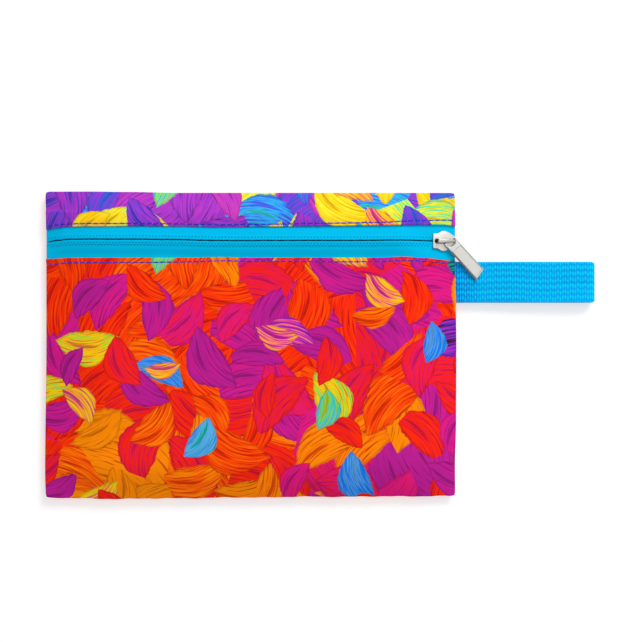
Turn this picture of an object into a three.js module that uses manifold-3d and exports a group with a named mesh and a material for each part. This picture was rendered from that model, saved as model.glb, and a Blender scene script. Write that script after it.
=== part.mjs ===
// Flat zip pouch that a folded duffel bag is kept in, with a webbing wrist strap, lying face up.
// Millimetres. +X runs along the zip towards the strap, +Y from the pouch's foot to its zip, +Z is up.
// The origin lies on the table, under the middle of the whole outline.
import * as THREE from "three";
import Module from "manifold-3d";
import { mergeVertices } from "three/addons/utils/BufferGeometryUtils.js";

const wasm = await Module();
wasm.setup();

const { clamp, lerp, smoothstep, degToRad } = THREE.MathUtils;

// Pouch
const POUCH_WIDTH = 250;
const POUCH_HEIGHT = 185.5;
const CORNER = 3; // length over which each border rounds off at a corner
const CORNER_INSET = 0.9; // how far the corner point itself is drawn in
const CLOTH = 1.2; // cloth wall, measured upright
const GAP = 0.3; // clearance between neighbouring pieces
const CROWN = 14; // top of the filled-out front above the table
const BORDER_LIFT = 3.5; // underside of the border seam above the table
const FRONT_REACH = { side: 45, top: 20, foot: 24 }; // from the border to where the front is level
const BACK_REACH = { side: 25, top: 18, foot: 18 }; // from the border to where the back lies flat
const SEAM_BLEND = { from: 0.3, to: 0.7 }; // shares across, between what the two side seams hold

// Zip
const ZIP_DOWN = 29.3; // centre line below the top border
const TAPE = 1;
const TAPE_EDGE = { upper: 13.3, lower: 41.8 }; // hidden outer edges, below the top border
const TAPE_INSET = 0.4; // ends of the tapes inside the side borders
const COIL = { width: 5.5, thick: 1.4, from: 12, short: 10.6 }; // ends short of both side borders

// Slider, about its own centre on the tape's outer face
const SLIDER_SHORT = 7.2; // centre to the pouch's right border
const SLIDER = { left: -6.6, neck: -4.8, right: 6.8, neckHalf: 4.5, widest: 6.2, noseHalf: 3 };
const PLATE = 1.2; // top plate
const LOWER_PLATE = { thick: 1, left: -6.2, right: -0.4, half: 4.3 };
const POST = { left: -2.2, right: -0.6, half: 0.7 };
const BAIL = { left: -4.2, right: 6.7, width: 1.7, bar: 1, leg: 0.9, window: 0.4 };
const BAIL_ROUND = { nose: 2.4, noseFoot: 0.6, corner: 0.7 };
const PULL_BAR_AT = 3.25; // where the pull's eye passes under the bail
const PULL_CLEAR = 1.1; // from the hinge axis to the top plate, and to the bail above it

// Pull
const PULL = { length: 27.6, width: 8.2, thick: 1.4, bar: 1.2, corner: 0.7, endSkew: 0.6 };
const EYE = { length: 3, half: 3.2, corner: 0.9 };
const PULL_YAW = degToRad(-47.5);
const PULL_SHIFT = 0.15; // along the hinge axis, towards the leg of the bail
const PULL_PITCH = degToRad(-5.4); // raised from the slider's plane, so that the tip lies on the strap

// Wrist strap
const STRAP_REACH = 85; // how far the folded strap stands out from the pouch
const STRAP = { down: 42.3, width: 24.9, thick: 1.2, inside: 7, steps: 64 };

const LEFT = -(POUCH_WIDTH + STRAP_REACH) / 2;
const TOP = POUCH_HEIGHT / 2;

// Facets: steps across the pouch and on round outlines, and shares down each piece where it bends
const ACROSS_STEPS = 32;
const BACK_STEPS = 16;
const CURVE_STEPS = 8;
const UPPER_ROWS = [0, 0.1, 0.25, 0.45, 0.65, 0.78, 0.9, 1];
const LOWER_ROWS_AT_STRAP = [0, 0.017, 0.035, 0.055, 0.08, 0.13, 0.197, 0.265];
const LOWER_ROWS_TO_FOOT = [0.4, 0.6, 0.83, 0.87, 0.91, 0.945, 0.97, 0.99, 1];
const TAPE_ROWS = [0, 0.17, 0.32, 0.45, 1];
const COIL_ROWS = [0, 0.5, 1];
const WELD = 1e-4; // distance within which corners of a mesh are one

// How far each border lies inside the plain rectangle, at shares of the border's length
const BORDER_IN = {
  left: [
    { at: 0, inset: 0.5 },
    { at: 0.12, inset: 0.9 },
    { at: 0.5, inset: 1.1 },
    { at: 0.92, inset: 0 },
    { at: 1, inset: 0.2 },
  ],
  right: [
    { at: 0, inset: 1 },
    { at: 0.3, inset: 0.5 },
    { at: 0.6, inset: 0.6 },
    { at: 1, inset: 0.1 },
  ],
  top: [
    { at: 0, inset: 0.4 },
    { at: 0.3, inset: 0 },
    { at: 0.7, inset: 0.3 },
    { at: 1, inset: 0.3 },
  ],
  foot: [
    { at: 0, inset: 0.5 },
    { at: 0.1, inset: 0.1 },
    { at: 0.5, inset: 0.4 },
    { at: 0.8, inset: 0 },
    { at: 1, inset: 0.5 },
  ],
};

// Side seams: what is sewn in between raises the front's border and drops the back's
const SEAM_LEFT = [
  { down: 8.5, raise: 0, drop: 0 },
  { down: 13, raise: 1.3, drop: 0 },
  { down: 43, raise: 1.3, drop: 0 },
  { down: 50, raise: 0, drop: 0 },
];
const SEAM_RIGHT = [
  { down: 8.5, raise: 0, drop: 0 },
  { down: 13, raise: 1.3, drop: 0 },
  { down: 34, raise: 1.3, drop: 0 },
  { down: 39.5, raise: 1.5, drop: 1.5 },
  { down: 68.5, raise: 1.5, drop: 1.5 },
  { down: 79, raise: 0, drop: 0 },
];

// Folded panel edges on both sides of the zip, below the top border, dipping at the ends
const ZIP_EDGES = [
  { across: 0, upper: 21.9, lower: 41 },
  { across: 20, upper: 20.5, lower: 40 },
  { across: 200, upper: 20.4, lower: 39.8 },
  { across: POUCH_WIDTH, upper: 20.2, lower: 41 },
];

// Slit between the tapes: nearly shut along the zip, parted at the slider's post
const ZIP_SLIT = [
  { across: 0, width: 0.4 },
  { across: POUCH_WIDTH - 14, width: 0.4 },
  { across: POUCH_WIDTH - 10.5, width: 2.2 },
  { across: POUCH_WIDTH - 4, width: 2.2 },
  { across: POUCH_WIDTH, width: 1 },
];

// Right edge of the lower front panel, drawn in where the strap is sewn under it
const STRAP_TUCK = [
  { down: 40, inset: 2.8 },
  { down: 42.5, inset: 4.6 },
  { down: 46, inset: 2.8 },
  { down: 51, inset: 0 },
];

// Strap's centre line, outwards along the lower layer, round the fold and back along the upper one
const STRAP_ROUTE = [
  { out: -STRAP.inside, height: 4.1 },
  { out: 1, height: 4.1 },
  { out: 10, height: 2.6 },
  { out: 22, height: 0.9 },
  { out: 40, height: 0.74 },
  { out: 62, height: 0.74 },
  { out: 77, height: 0.75 },
  { out: 82, height: 1.7 },
  { out: 84.4, height: 4.2 },
  { out: 82, height: 6.8 },
  { out: 76, height: 7.7 },
  { out: 62, height: 7.6 },
  { out: 40, height: 7 },
  { out: 22, height: 6 },
  { out: 8, height: 5.6 },
  { out: 0, height: 5.6 },
  { out: -STRAP.inside, height: 5.6 },
];

// Value of one column of a table at a place along another, eased from row to row
function along(rows, key, at, column) {
  const next = rows.findIndex((row) => row[key] > at);
  if (next === 0) return rows[0][column];
  if (next < 0) return rows.at(-1)[column];
  const before = rows[next - 1];
  const after = rows[next];
  return lerp(before[column], after[column], smoothstep(at, before[key], after[key]));
}

// Shares from 0 to 1, crowded towards both ends as the cloth bends most there
function shares(count) {
  return Array.from({ length: count + 1 }, (_, i) => (1 - Math.cos((Math.PI * i) / count)) / 2);
}

// Closed wall between an upper and a lower surface over one grid of shares
function wall(downShares, upper, lower) {
  const acrossShares = shares(ACROSS_STEPS);
  const columns = acrossShares.length;
  const rows = downShares.length;
  const points = [upper, lower].flatMap((surface) =>
    downShares.flatMap((down) => acrossShares.flatMap((across) => surface(across, down).toArray())),
  );
  const at = (side, row, column) => (side * rows + row) * columns + column;
  const index = [];
  const quad = (a, b, c, d) => index.push(a, b, c, a, c, d);
  for (let r = 0; r + 1 < rows; r++) {
    for (let c = 0; c + 1 < columns; c++) {
      quad(at(0, r, c), at(0, r + 1, c), at(0, r + 1, c + 1), at(0, r, c + 1));
      quad(at(1, r, c), at(1, r, c + 1), at(1, r + 1, c + 1), at(1, r + 1, c));
    }
    const last = columns - 1;
    quad(at(0, r, 0), at(1, r, 0), at(1, r + 1, 0), at(0, r + 1, 0));
    quad(at(0, r, last), at(0, r + 1, last), at(1, r + 1, last), at(1, r, last));
  }
  for (let c = 0; c + 1 < columns; c++) {
    quad(at(0, 0, c), at(0, 0, c + 1), at(1, 0, c + 1), at(1, 0, c));
    quad(at(0, rows - 1, c), at(1, rows - 1, c), at(1, rows - 1, c + 1), at(0, rows - 1, c + 1));
  }
  const geometry = new THREE.BufferGeometry();
  geometry.setAttribute("position", new THREE.Float32BufferAttribute(points, 3));
  geometry.setIndex(index);
  return geometry;
}

// Place on the pouch, from the distances across from its left border and down from its top border
function place(across, down, height) {
  const u = across / POUCH_WIDTH;
  const v = down / POUCH_HEIGHT;
  const inset = (side, share) => along(BORDER_IN[side], "at", share, "inset");
  const nearSide = 1 - clamp(Math.min(across, POUCH_WIDTH - across) / CORNER, 0, 1);
  const nearEnd = 1 - clamp(Math.min(down, POUCH_HEIGHT - down) / CORNER, 0, 1);
  const rounding = CORNER_INSET * nearSide * nearEnd;
  const right = (1 - u) * inset("left", v) - u * inset("right", v);
  const up = v * inset("foot", u) - (1 - v) * inset("top", u);
  return new THREE.Vector3(
    LEFT + across + right + Math.sign(0.5 - u) * rounding * nearEnd,
    TOP - down + up + Math.sign(v - 0.5) * rounding * nearSide,
    height,
  );
}

// Filling of the pouch: 0 at the border, 1 where the cloth is level
function filling(across, down, reach) {
  const rise = (distance, length) => Math.sin((Math.PI / 2) * clamp(distance / length, 0, 1));
  const fromSide = Math.min(across, POUCH_WIDTH - across);
  return (
    rise(fromSide, reach.side) * rise(down, reach.top) * rise(POUCH_HEIGHT - down, reach.foot)
  );
}

// What the side seams hold at this place, blended from the left seam to the right one
function packing(across, down, column) {
  const toRight = smoothstep(across / POUCH_WIDTH, SEAM_BLEND.from, SEAM_BLEND.to);
  return lerp(along(SEAM_LEFT, "down", down, column), along(SEAM_RIGHT, "down", down, column), toRight);
}

function backHeight(across, down) {
  const border = BORDER_LIFT - packing(across, down, "drop");
  return border * (1 - filling(across, down, BACK_REACH));
}

function frontHeight(across, down) {
  const border = BORDER_LIFT + 2 * CLOTH + GAP + packing(across, down, "raise");
  return lerp(border, CROWN, filling(across, down, FRONT_REACH));
}

function tapeHeight(across, down) {
  return frontHeight(across, down) - CLOTH - GAP;
}

const zipEdge = (across, column) => along(ZIP_EDGES, "across", across, column);
const slit = (across) => along(ZIP_SLIT, "across", across, "width");

function backPanel() {
  const surface = (rise) => (a, d) => {
    const across = a * POUCH_WIDTH;
    const down = d * POUCH_HEIGHT;
    return place(across, down, backHeight(across, down) + rise);
  };
  const seamShares = SEAM_RIGHT.map(({ down }) => down / POUCH_HEIGHT);
  const downShares = [...shares(BACK_STEPS), ...seamShares].sort((a, b) => a - b);
  return wall(downShares, surface(CLOTH), surface(0));
}

function frontPanelUpper() {
  const surface = (rise) => (a, d) => {
    const across = a * POUCH_WIDTH;
    const down = d * zipEdge(across, "upper");
    return place(across, down, frontHeight(across, down) + rise);
  };
  return wall(UPPER_ROWS, surface(0), surface(-CLOTH));
}

function frontPanelLower() {
  const surface = (rise) => (a, d) => {
    const edge = zipEdge(a * POUCH_WIDTH, "lower");
    const down = lerp(edge, POUCH_HEIGHT, d);
    const across = a * (POUCH_WIDTH - along(STRAP_TUCK, "down", down, "inset"));
    return place(across, down, frontHeight(across, down) + rise);
  };
  return wall([...LOWER_ROWS_AT_STRAP, ...LOWER_ROWS_TO_FOOT], surface(0), surface(-CLOTH));
}

// One tape, between its hidden outer edge and the slit
function zipTape(fromDown, toDown) {
  const surface = (rise) => (a, d) => {
    const across = lerp(TAPE_INSET, POUCH_WIDTH - TAPE_INSET, a);
    const down = lerp(fromDown(across), toDown(across), d);
    return place(across, down, tapeHeight(across, down) + rise);
  };
  return wall(TAPE_ROWS, surface(0), surface(-TAPE));
}

function zipCoil() {
  const surface = (rise) => (a, d) => {
    const across = lerp(COIL.from, POUCH_WIDTH - COIL.short, a);
    const down = ZIP_DOWN + (d - 0.5) * COIL.width;
    return place(across, down, tapeHeight(across, down) - TAPE - GAP + rise);
  };
  return wall(COIL_ROWS, surface(0), surface(-COIL.thick));
}

// Solid for joining, from a closed geometry
function solid(geometry) {
  const bare = new THREE.BufferGeometry();
  const source = geometry.index ? geometry.toNonIndexed() : geometry;
  bare.setAttribute("position", source.getAttribute("position"));
  const merged = mergeVertices(bare, WELD);
  return new wasm.Manifold(
    new wasm.Mesh({
      numProp: 3,
      vertProperties: merged.getAttribute("position").array,
      triVerts: new Uint32Array(merged.index.array),
    }),
  );
}

// One geometry from several that overlap
function joined(geometries) {
  const { vertProperties, triVerts } = geometries
    .map(solid)
    .reduce((whole, next) => whole.add(next))
    .getMesh();
  const geometry = new THREE.BufferGeometry();
  geometry.setAttribute("position", new THREE.BufferAttribute(vertProperties, 3));
  geometry.setIndex(new THREE.BufferAttribute(triVerts, 1));
  return geometry;
}

// Plate of a plan outline between two heights
function slab(shape, bottom, top) {
  const geometry = new THREE.ExtrudeGeometry(shape, {
    depth: top - bottom,
    bevelEnabled: false,
    curveSegments: CURVE_STEPS,
  });
  return geometry.translate(0, 0, bottom);
}

// Band of an outline drawn in length and height, as wide as given and centred across
function band(shape, width) {
  const geometry = new THREE.ExtrudeGeometry(shape, {
    depth: width,
    bevelEnabled: false,
    curveSegments: CURVE_STEPS,
  });
  return geometry.translate(0, 0, -width / 2).rotateX(Math.PI / 2);
}

// Slider: shield-shaped top plate, post and plain lower plate around the tapes, and the bail on top
function zipSlider() {
  const { left, neck, right, neckHalf, widest, noseHalf } = SLIDER;
  const shield = new THREE.Shape();
  shield.moveTo(left, -neckHalf);
  shield.lineTo(neck, -neckHalf);
  shield.bezierCurveTo(neck / 2, -neckHalf, neck / 2, -widest, 0, -widest);
  shield.quadraticCurveTo(right / 2, -widest, right, -noseHalf);
  shield.lineTo(right, noseHalf);
  shield.quadraticCurveTo(right / 2, widest, 0, widest);
  shield.bezierCurveTo(neck / 2, widest, neck / 2, neckHalf, neck, neckHalf);
  shield.lineTo(left, neckHalf);
  shield.closePath();

  const lower = new THREE.Shape();
  lower.moveTo(LOWER_PLATE.left, -LOWER_PLATE.half);
  lower.lineTo(LOWER_PLATE.right, -LOWER_PLATE.half);
  lower.lineTo(LOWER_PLATE.right, LOWER_PLATE.half);
  lower.lineTo(LOWER_PLATE.left, LOWER_PLATE.half);
  lower.closePath();

  const post = new THREE.Shape();
  post.moveTo(POST.left, 0);
  post.lineTo((POST.left + POST.right) / 2, -POST.half);
  post.lineTo(POST.right, -POST.half);
  post.lineTo(POST.right, POST.half);
  post.lineTo((POST.left + POST.right) / 2, POST.half);
  post.closePath();

  const plateTop = GAP + PLATE;
  const lowerTop = -(TAPE + GAP + COIL.thick + GAP);
  const barUnder = plateTop + 2 * PULL_CLEAR;
  const barTop = barUnder + BAIL.bar;
  const foot = plateTop - PLATE / 2;
  const legInner = BAIL.right - BAIL.leg;
  const { nose, noseFoot, corner } = BAIL_ROUND;
  const bail = new THREE.Shape();
  bail.moveTo(BAIL.left, foot);
  bail.lineTo(BAIL.window, foot);
  bail.lineTo(BAIL.window, barUnder - corner);
  bail.quadraticCurveTo(BAIL.window, barUnder, BAIL.window + corner, barUnder);
  bail.lineTo(legInner, barUnder);
  bail.lineTo(legInner, foot);
  bail.lineTo(BAIL.right, foot);
  bail.lineTo(BAIL.right, barTop - corner);
  bail.quadraticCurveTo(BAIL.right, barTop, BAIL.right - corner, barTop);
  bail.lineTo(BAIL.left + nose, barTop);
  bail.quadraticCurveTo(BAIL.left, barTop, BAIL.left, plateTop + noseFoot);
  bail.closePath();

  return joined([
    slab(shield, GAP, plateTop),
    slab(lower, lowerTop - LOWER_PLATE.thick, lowerTop),
    slab(post, lowerTop - LOWER_PLATE.thick / 2, GAP + PLATE / 2),
    band(bail, BAIL.width),
  ]);
}

// Rectangle with round corners, drawn as an outline or as a hole; the right end may be cut askew
function roundedOutline(path, left, right, half, corner, skew) {
  path.moveTo(left + corner, -half);
  path.lineTo(right + skew - corner, -half);
  path.quadraticCurveTo(right + skew, -half, right + skew, -half + corner);
  path.lineTo(right - skew, half - corner);
  path.quadraticCurveTo(right - skew, half, right - skew - corner, half);
  path.lineTo(left + corner, half);
  path.quadraticCurveTo(left, half, left, half - corner);
  path.lineTo(left, -half + corner);
  path.quadraticCurveTo(left, -half, left + corner, -half);
  return path;
}

// Pull: flat tag along its own +X, with the hinge axis through the bar that closes its eye
function zipPull() {
  const bar = PULL.bar / 2;
  const tag = roundedOutline(
    new THREE.Shape(), -bar, PULL.length, PULL.width / 2, PULL.corner, PULL.endSkew,
  );
  tag.holes.push(roundedOutline(new THREE.Path(), bar, bar + EYE.length, EYE.half, EYE.corner, 0));
  return slab(tag, -PULL.thick / 2, PULL.thick / 2);
}

// Strap: one length of webbing folded into a loop, cut along its centre line
function wristStrap() {
  const route = new THREE.CatmullRomCurve3(
    STRAP_ROUTE.map(({ out, height }) => new THREE.Vector3(out, height, 0)),
    false,
    "centripetal",
  );
  const sides = [1, -1].map((side) =>
    Array.from({ length: STRAP.steps + 1 }, (_, i) => {
      const share = i / STRAP.steps;
      const point = route.getPointAt(share);
      const along = route.getTangentAt(share);
      const offset = (side * STRAP.thick) / 2;
      return new THREE.Vector2(point.x - along.y * offset, point.y + along.x * offset);
    }),
  );
  return band(new THREE.Shape([...sides[1], ...sides[0].reverse()]), STRAP.width);
}

const printedCloth = { roughness: 0.75, metalness: 0 };
const nickel = { color: 0xd8d6d0, roughness: 0.35, metalness: 1 };
const tapeWeave = { color: 0x00b5e2, roughness: 0.7, metalness: 0 };

function named(name, geometry, finish) {
  const mesh = new THREE.Mesh(geometry, new THREE.MeshStandardMaterial(finish));
  mesh.name = name;
  return mesh;
}

const pouch = new THREE.Group();
const tapeUpper = zipTape(
  () => TAPE_EDGE.upper,
  (across) => ZIP_DOWN - slit(across) / 2,
);
const tapeLower = zipTape(
  (across) => ZIP_DOWN + slit(across) / 2,
  () => TAPE_EDGE.lower,
);
pouch.add(
  named("back_panel", backPanel(), { ...printedCloth, color: 0xd8502a }),
  named("front_panel_upper", frontPanelUpper(), { ...printedCloth, color: 0x7a3fb0 }),
  named("front_panel_lower", frontPanelLower(), { ...printedCloth, color: 0xf06a1e }),
  named("zip_tape_upper", tapeUpper, tapeWeave),
  named("zip_tape_lower", tapeLower, { ...tapeWeave, color: 0x00a6d6 }),
  named("zip_coil", zipCoil(), { color: 0x0e3a4a, roughness: 0.5, metalness: 0 }),
);

// The slider rides on the tapes, tilted with them where they slope down to the side seam
const sliderAcross = POUCH_WIDTH - SLIDER_SHORT;
const slopeSpan = 6;
const slope =
  (tapeHeight(sliderAcross + slopeSpan / 2, ZIP_DOWN) -
    tapeHeight(sliderAcross - slopeSpan / 2, ZIP_DOWN)) /
  slopeSpan;
const runner = new THREE.Group();
runner.position.copy(place(sliderAcross, ZIP_DOWN, tapeHeight(sliderAcross, ZIP_DOWN)));
runner.rotation.y = Math.atan(-slope);
runner.add(named("zip_slider", zipSlider(), nickel));
pouch.add(runner);

// The pull hangs by its eye on the bail and lies over the side seam, its tip on the strap
const hinge = new THREE.Group();
hinge.position.set(PULL_BAR_AT, 0, GAP + PLATE + PULL_CLEAR);
hinge.rotation.z = PULL_YAW;
runner.add(hinge);
const pull = named("zip_pull", zipPull(), nickel);
pull.rotation.y = PULL_PITCH;
pull.position.y = PULL_SHIFT;
hinge.add(pull);

const strap = named("wrist_strap", wristStrap(), { color: 0x00a3e4, roughness: 0.65, metalness: 0 });
strap.position.set(LEFT + POUCH_WIDTH, TOP - STRAP.down - STRAP.width / 2, 0);
pouch.add(strap);

export default pouch;
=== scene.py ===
"""Flat printed zip pouch of a folded duffel bag with a webbing wrist strap, face up on a pale table."""

import math

import bmesh
import bpy
import numpy as np
from mathutils import Matrix, Vector
from mathutils.geometry import interpolate_bezier


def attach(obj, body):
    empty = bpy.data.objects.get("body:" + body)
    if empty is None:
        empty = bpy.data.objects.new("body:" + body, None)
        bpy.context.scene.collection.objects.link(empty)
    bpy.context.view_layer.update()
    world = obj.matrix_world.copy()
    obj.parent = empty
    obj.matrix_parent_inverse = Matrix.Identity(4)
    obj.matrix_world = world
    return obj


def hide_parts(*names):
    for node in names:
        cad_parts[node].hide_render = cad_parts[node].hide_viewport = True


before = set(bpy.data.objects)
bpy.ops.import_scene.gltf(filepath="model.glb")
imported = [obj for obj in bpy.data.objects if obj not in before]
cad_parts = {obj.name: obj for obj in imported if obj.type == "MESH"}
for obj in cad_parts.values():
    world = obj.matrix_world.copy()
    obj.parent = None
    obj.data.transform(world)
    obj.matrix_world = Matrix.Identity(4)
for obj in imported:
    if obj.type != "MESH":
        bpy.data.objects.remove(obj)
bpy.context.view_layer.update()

# Back panel
# One rectangle of printed plain-weave polyester that lies on the table under what the pouch holds.
# Its border is turned up and inwards, and sewn face to face with the front in a plain turned seam.
MM = 0.001
POUCH_WIDTH = 250.0
POUCH_HEIGHT = 185.5
STRAP_REACH = 85.0
LEFT = -(POUCH_WIDTH + STRAP_REACH) / 2
TOP = POUCH_HEIGHT / 2
CORNER = 3.0  # length over which each border rounds off at a corner
CORNER_INSET = 0.6
BORDER_LIFT = 3.5  # underside of the border seam above the table
BACK_REACH = {"side": 25, "top": 18, "foot": 18}  # from the border to where the back lies flat
CLOTH = 0.5  # one layer of cloth
LIP = 0.45  # radius of the border where it turns into the seam
LIP_TURN = 1.62 * LIP  # how far past the border the turned cloth runs
BACK_STEP = 1.7  # mesh spacing over the back

# How far each border lies inside the plain rectangle, or outside it, at shares of its length
LEFT_IN = [(0, -0.5), (0.12, 0.05), (0.5, 0.05), (0.92, -0.75), (1, -0.35)]
RIGHT_IN = [
    (0, 0.4), (0.12, 0.2), (0.2, 0.33), (0.31, 0.33), (0.355, -0.2), (0.5, -0.5), (0.75, -0.35), (0.9, 0.35),
    (1, 0.2),
]
TOP_IN = [(0, -0.9), (0.1, -0.95), (0.2, -0.7), (0.33, -0.15), (1, -0.1)]
FOOT_IN = [(0, -0.75), (0.18, -1.3), (0.35, -0.85), (0.5, -0.4), (0.65, -0.05), (0.8, 0.1), (1, 0.5)]
# Small waves of the seam along the foot: height, length for each radian and phase
FOOT_WAVES = [(0.1, 1.9, 0.4), (0.14, 4.3, 2), (0.1, 7.7, 0)]
# How far the strap in the right seam pushes the back down, at mm below the top border
STRAP_DROP = [(38.5, 0), (41.6, 1.5), (67.4, 1.5), (70.4, 0)]
# How far a place counts as in the right part of the pouch, at shares of the width
RIGHT_PART = [(0.3, 0), (0.7, 1)]


def eased(rows, at):
    """Second column of a table at places along its first one, eased from row to row."""
    places, values = np.array(rows, float).T
    after = np.clip(np.searchsorted(places, at, side="right"), 1, len(places) - 1)
    share = np.clip((at - places[after - 1]) / (places[after] - places[after - 1]), 0, 1)
    return values[after - 1] + (values[after] - values[after - 1]) * share**2 * (3 - 2 * share)


def foot_waves(across):
    return sum(high * np.sin(across / length + phase) for high, length, phase in FOOT_WAVES)


def on_pouch(across, down, height):
    """Points in metres, from mm across from the left border, down from the top one and above the table."""
    u = across / POUCH_WIDTH
    v = down / POUCH_HEIGHT
    near_side = 1 - np.clip(np.minimum(across, POUCH_WIDTH - across) / CORNER, 0, 1)
    near_end = 1 - np.clip(np.minimum(down, POUCH_HEIGHT - down) / CORNER, 0, 1)
    rounding = CORNER_INSET * near_side * near_end
    x = LEFT + across + (1 - u) * eased(LEFT_IN, v) - u * eased(RIGHT_IN, v)
    y = TOP - down + v * (eased(FOOT_IN, u) + foot_waves(across)) - (1 - v) * eased(TOP_IN, u)
    x = x + np.sign(0.5 - u) * rounding * near_end
    y = y + np.sign(v - 0.5) * rounding * near_side
    return MM * np.column_stack([x, y, height])


def filling(across, down, reach):
    """0 at the pouch's border, 1 where the filled-out cloth is level."""
    def rise(distance, length):
        return np.sin(np.pi / 2 * np.clip(distance / length, 0, 1))

    side = rise(np.minimum(across, POUCH_WIDTH - across), reach["side"])
    return side * rise(down, reach["top"]) * rise(POUCH_HEIGHT - down, reach["foot"])


def towards_right(across):
    return eased(RIGHT_PART, across / POUCH_WIDTH)


def back_height(across, down):
    border = BORDER_LIFT - eased(STRAP_DROP, down) * towards_right(across)
    return border * (1 - filling(across, down, BACK_REACH))


def turned_edge(distance, radius):
    """Inset from a folded edge and drop below the face, at distances along cloth that turns under there."""
    arc = np.maximum(radius - distance, 0)
    angle = np.minimum(arc / radius, np.pi)
    run_on = np.maximum(arc - np.pi * radius, 0)
    return np.maximum(distance, radius) - radius * np.sin(angle) + run_on, radius * (1 - np.cos(angle))


def between_edges(distance, length, first, last, first_radius, last_radius):
    """Place and drop of cloth whose two ends turn under at the places first and last."""
    first_inset, first_drop = turned_edge(distance, first_radius)
    last_inset, last_drop = turned_edge(length - distance, last_radius)
    low = first + CLOTH / 2 + first_radius
    high = last - CLOTH / 2 - last_radius
    share = (distance - first_radius) / (length - first_radius - last_radius)
    place = low + (high - low) * np.clip(share, 0, 1)
    place = np.where(distance < first_radius, first + CLOTH / 2 + first_inset, place)
    place = np.where(length - distance < last_radius, last - CLOTH / 2 - last_inset, place)
    return place, first_drop + last_drop


def cloth_marks(length, first_under, last_under, step):
    """Distances along a cloth for its mesh, close together where its ends turn under."""
    flat_from = 0.5
    turn_to = 1.0
    turn_marks = 10
    return_marks = 6

    def end_marks(under):
        turn = np.linspace(flat_from, -min(under, turn_to), turn_marks)
        if under <= turn_to:
            return turn
        return np.concatenate([turn, np.linspace(-turn_to, -under, return_marks)])

    flat = np.linspace(flat_from, length - flat_from, round(length / step))
    marks = np.concatenate([end_marks(first_under), flat, length - end_marks(last_under)])
    return np.unique(np.round(marks, 5))


def cloth_grid(columns, rows, shape):
    """Cloth with a point for each mark across and down, and those distances in metres as its UV map."""
    rows = rows[::-1]
    grid = bmesh.new()
    bmesh.ops.create_grid(grid, x_segments=len(columns) - 1, y_segments=len(rows) - 1, size=1)
    across, down = (marks.ravel() for marks in np.meshgrid(columns, rows))
    for vertex, point in zip(grid.verts, shape(across, down)):
        vertex.co = point
    flat = grid.loops.layers.uv.new("cloth")
    grid.verts.index_update()
    for face in grid.faces:
        for corner in face.loops:
            corner[flat].uv = (across[corner.vert.index] * MM, down[corner.vert.index] * MM)
    return grid


def new_piece(name, builder, materials, body="pouch"):
    """Object of a finished bmesh, shaded smooth, that moves with a body."""
    mesh = bpy.data.meshes.new(name)
    builder.to_mesh(mesh)
    builder.free()
    for material in materials:
        mesh.materials.append(material)
    mesh.shade_smooth()
    piece = bpy.data.objects.new(name, mesh)
    bpy.context.scene.collection.objects.link(piece)
    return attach(piece, body)


def thicken(piece, thickness):
    wall = piece.modifiers.new("cloth thickness", "SOLIDIFY")
    wall.thickness = thickness * MM
    wall.offset = 0


def linear(colour):
    """Linear RGBA of an sRGB hex colour."""
    channels = [int(colour[i:i + 2], 16) / 255 for i in (1, 3, 5)]
    return [c / 12.92 if c <= 0.04045 else ((c + 0.055) / 1.055) ** 2.4 for c in channels] + [1]


def set_inputs(tree, made, inputs):
    """Gives a node its value, or its link from another node, for each input named."""
    for name, value in inputs.items():
        if isinstance(value, bpy.types.NodeSocket):
            tree.links.new(value, made.inputs[name])
        else:
            made.inputs[name].default_value = value


def node(tree, kind, inputs, stops=(), **settings):
    """Adds a node with its settings, inputs and any colour stops, and returns its outputs."""
    made = tree.nodes.new(f"ShaderNode{kind}")
    for setting, value in settings.items():
        setattr(made, setting, value)
    for _ in stops[2:]:
        made.color_ramp.elements.new(0.5)
    if stops:
        for element, (share, colour) in zip(made.color_ramp.elements, stops):
            element.position = share
            element.color = linear(colour)
    set_inputs(tree, made, inputs)
    return made.outputs


def new_material(name):
    """Empty material, with its node tree and its surface shader."""
    material = bpy.data.materials.new(name)
    material.use_nodes = True
    return material, material.node_tree, material.node_tree.nodes["Principled BSDF"]


def cloth_in_mm(tree):
    """Place on the flat cloth, in mm across and down."""
    flat = node(tree, "UVMap", {}, uv_map="cloth")[0]
    return node(tree, "Mapping", {"Vector": flat, "Scale": (1 / MM, 1 / MM, 1 / MM)})[0]


BANDS = math.pi / 10  # scale at which the wave texture's bands are 1 apart
COLOUR_ZONE = 95  # mm over which neighbouring strokes have like colours
RAGGED_EDGE = 4  # mm between the teeth of a stroke's edge
# Layers of the brushed print from the first painted to the last, in mm
BRUSH_LAYERS = [
    {"cell": 38, "length": 60, "width": 45, "bend": 0.01, "turn": 0.0, "shift": 0, "accent": False},
    {"cell": 42, "length": 27, "width": 15, "bend": 0.012, "turn": 0.5, "shift": 71, "accent": False},
    {"cell": 40, "length": 25, "width": 14, "bend": -0.014, "turn": 1.1, "shift": 133, "accent": False},
    {"cell": 44, "length": 23, "width": 12.5, "bend": 0.016, "turn": 0.2, "shift": 211, "accent": False},
    {"cell": 66, "length": 20, "width": 11.5, "bend": -0.018, "turn": 0.8, "shift": 307, "accent": True},
    {"cell": 46, "length": 17, "width": 10, "bend": 0.02, "turn": 1.4, "shift": 401, "accent": False},
    {"cell": 74, "length": 14, "width": 8.5, "bend": -0.025, "turn": 0.35, "shift": 503, "accent": True},
]


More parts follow.
